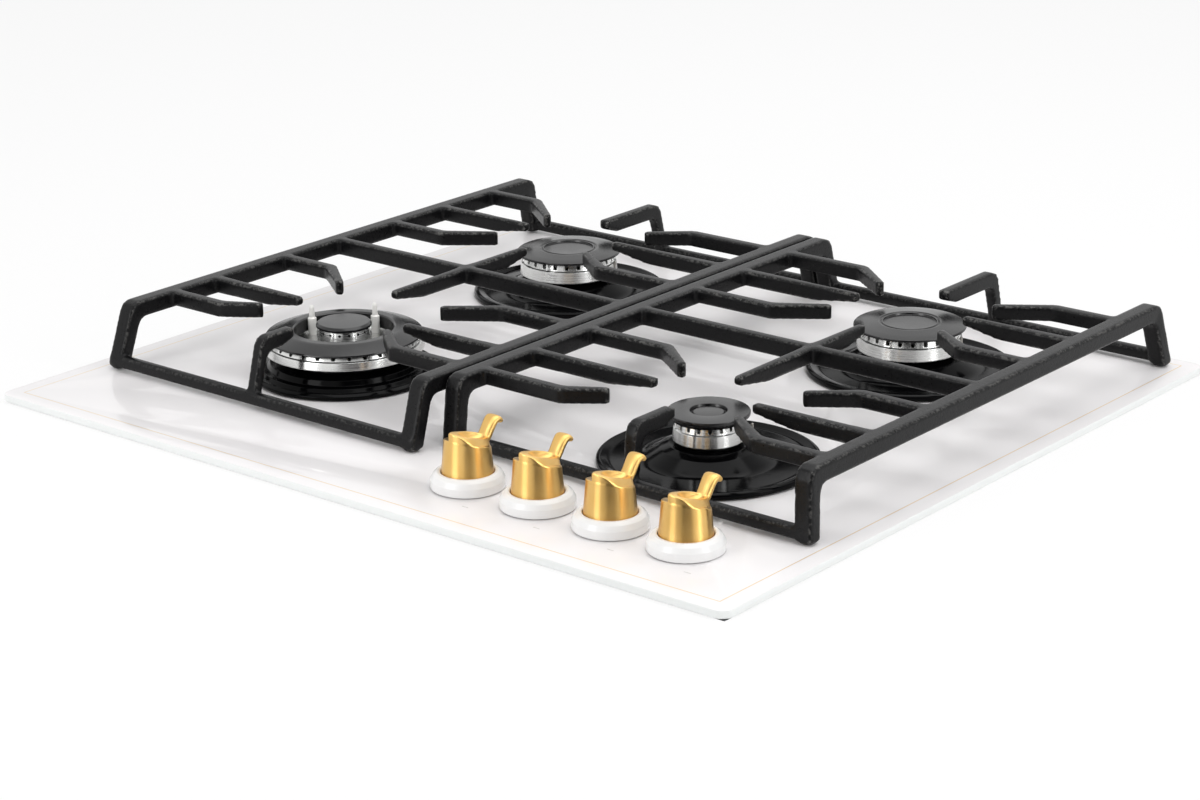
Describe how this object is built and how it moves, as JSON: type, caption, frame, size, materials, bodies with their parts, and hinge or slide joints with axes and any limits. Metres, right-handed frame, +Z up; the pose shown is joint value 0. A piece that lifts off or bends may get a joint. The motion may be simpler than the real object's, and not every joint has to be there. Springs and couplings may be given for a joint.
{
  "type": "gas cooktop",
  "caption": "Built-in gas hob: white glass top on a steel pan, cast-iron pan supports, capped burners with enamelled dishes, and push-and-turn knobs in collars at the front right.",
  "frame": {"origin": "Centre of the hob's plan, at the underside of the base pan.", "axes": "+X to the right along the long side of the glass, +Y from the knobs to the back, +Z up."},
  "size_m": [0.59, 0.52, 0.0958],
  "materials": {
    "glass": "gloss",
    "enamel": "gloss",
    "iron": "matte",
    "alloy": "satin",
    "cap": "matte",
    "gold": "brushed",
    "collar": "gloss",
    "steel": "satin",
    "brass": "satin",
    "ceramic": "satin",
    "rubber": "matte",
    "plastic": "matte"
  },
  "bodies": {
    "hob": {"glass_plate": "glass", "seal": "rubber", "base_pan": "steel", "rear_left_dish": "enamel", "rear_left_cup": "alloy", "rear_left_spark": "ceramic", "rear_left_probe": "brass", "rear_right_dish": "enamel", "rear_right_cup": "alloy", "rear_right_spark": "ceramic", "rear_right_probe": "brass", "front_right_dish": "enamel", "front_right_cup": "alloy", "front_right_spark": "ceramic", "front_right_probe": "brass", "front_left_dish": "enamel", "front_left_cup": "alloy", "front_left_head": "alloy", "front_left_spark": "ceramic", "front_left_probe": "brass", "tap_1": "brass", "tap_2": "brass", "tap_3": "brass", "tap_4": "brass", "collar_1": "collar", "collar_2": "collar", "collar_3": "collar", "collar_4": "collar", "tap_bracket": "steel", "gas_rail": "steel", "gas_inlet": "brass", "supply_pipe_1": "alloy", "supply_pipe_2": "alloy", "supply_pipe_3": "alloy", "supply_pipe_4": "alloy", "ignition_box": "plastic", "mains_gland": "rubber"},
    "left_support": {"left_pan_support": "iron"},
    "right_support": {"right_pan_support": "iron"},
    "rear_left_ring": {"rear_left_head": "alloy"},
    "rear_left_lid": {"rear_left_cap": "cap"},
    "rear_right_ring": {"rear_right_head": "alloy"},
    "rear_right_lid": {"rear_right_cap": "cap"},
    "front_right_ring": {"front_right_head": "alloy"},
    "front_right_lid": {"front_right_cap": "cap"},
    "front_left_lid": {"front_left_cap": "cap"},
    "front_left_inner_lid": {"front_left_inner_cap": "cap"},
    "plunger_1": {"spring_plate_1": "steel"},
    "plunger_2": {"spring_plate_2": "steel"},
    "plunger_3": {"spring_plate_3": "steel"},
    "plunger_4": {"spring_plate_4": "steel"},
    "dial_1": {"spindle_1": "steel", "knob_1": "gold"},
    "dial_2": {"spindle_2": "steel", "knob_2": "gold"},
    "dial_3": {"spindle_3": "steel", "knob_3": "gold"},
    "dial_4": {"spindle_4": "steel", "knob_4": "gold"}
  },
  "joints": [
    {"name": "left_support_lift", "type": "slide", "parent": "hob", "child": "left_support", "axis": [0, 0, 1], "range_m": [0, 0.06]},
    {"name": "right_support_lift", "type": "slide", "parent": "hob", "child": "right_support", "axis": [0, 0, 1], "range_m": [0, 0.06]},
    {"name": "rear_left_head_lift", "type": "slide", "parent": "hob", "child": "rear_left_ring", "axis": [0, 0, 1], "range_m": [0, 0.04]},
    {"name": "rear_left_cap_lift", "type": "slide", "parent": "rear_left_ring", "child": "rear_left_lid", "axis": [0, 0, 1], "range_m": [0, 0.02]},
    {"name": "rear_right_head_lift", "type": "slide", "parent": "hob", "child": "rear_right_ring", "axis": [0, 0, 1], "range_m": [0, 0.04]},
    {"name": "rear_right_cap_lift", "type": "slide", "parent": "rear_right_ring", "child": "rear_right_lid", "axis": [0, 0, 1], "range_m": [0, 0.02]},
    {"name": "front_right_head_lift", "type": "slide", "parent": "hob", "child": "front_right_ring", "axis": [0, 0, 1], "range_m": [0, 0.04]},
    {"name": "front_right_cap_lift", "type": "slide", "parent": "front_right_ring", "child": "front_right_lid", "axis": [0, 0, 1], "range_m": [0, 0.02]},
    {"name": "front_left_cap_lift", "type": "slide", "parent": "hob", "child": "front_left_lid", "axis": [0, 0, 1], "range_m": [0, 0.006]},
    {"name": "front_left_inner_cap_lift", "type": "slide", "parent": "hob", "child": "front_left_inner_lid", "axis": [0, 0, 1], "range_m": [0, 0.03]},
    {"name": "knob_1_press", "type": "slide", "parent": "hob", "child": "plunger_1", "axis": [0, 0, -1], "range_m": [0, 0.003], "stiffness_N_per_m": 1500, "springref_m": -0.003},
    {"name": "knob_1_turn", "type": "hinge", "parent": "plunger_1", "child": "dial_1", "pos_m": [0.0612, -0.2017, 0.06], "axis": [0, 0, 1], "range_deg": [0, 210]},
    {"name": "knob_2_press", "type": "slide", "parent": "hob", "child": "plunger_2", "axis": [0, 0, -1], "range_m": [0, 0.003], "stiffness_N_per_m": 1500, "springref_m": -0.003},
    {"name": "knob_2_turn", "type": "hinge", "parent": "plunger_2", "child": "dial_2", "pos_m": [0.1154, -0.2017, 0.06], "axis": [0, 0, 1], "range_deg": [0, 210]},
    {"name": "knob_3_press", "type": "slide", "parent": "hob", "child": "plunger_3", "axis": [0, 0, -1], "range_m": [0, 0.003], "stiffness_N_per_m": 1500, "springref_m": -0.003},
    {"name": "knob_3_turn", "type": "hinge", "parent": "plunger_3", "child": "dial_3", "pos_m": [0.1696, -0.2017, 0.06], "axis": [0, 0, 1], "range_deg": [0, 210]},
    {"name": "knob_4_press", "type": "slide", "parent": "hob", "child": "plunger_4", "axis": [0, 0, -1], "range_m": [0, 0.003], "stiffness_N_per_m": 1500, "springref_m": -0.003},
    {"name": "knob_4_turn", "type": "hinge", "parent": "plunger_4", "child": "dial_4", "pos_m": [0.2238, -0.2017, 0.06], "axis": [0, 0, 1], "range_deg": [0, 210]}
  ]
}
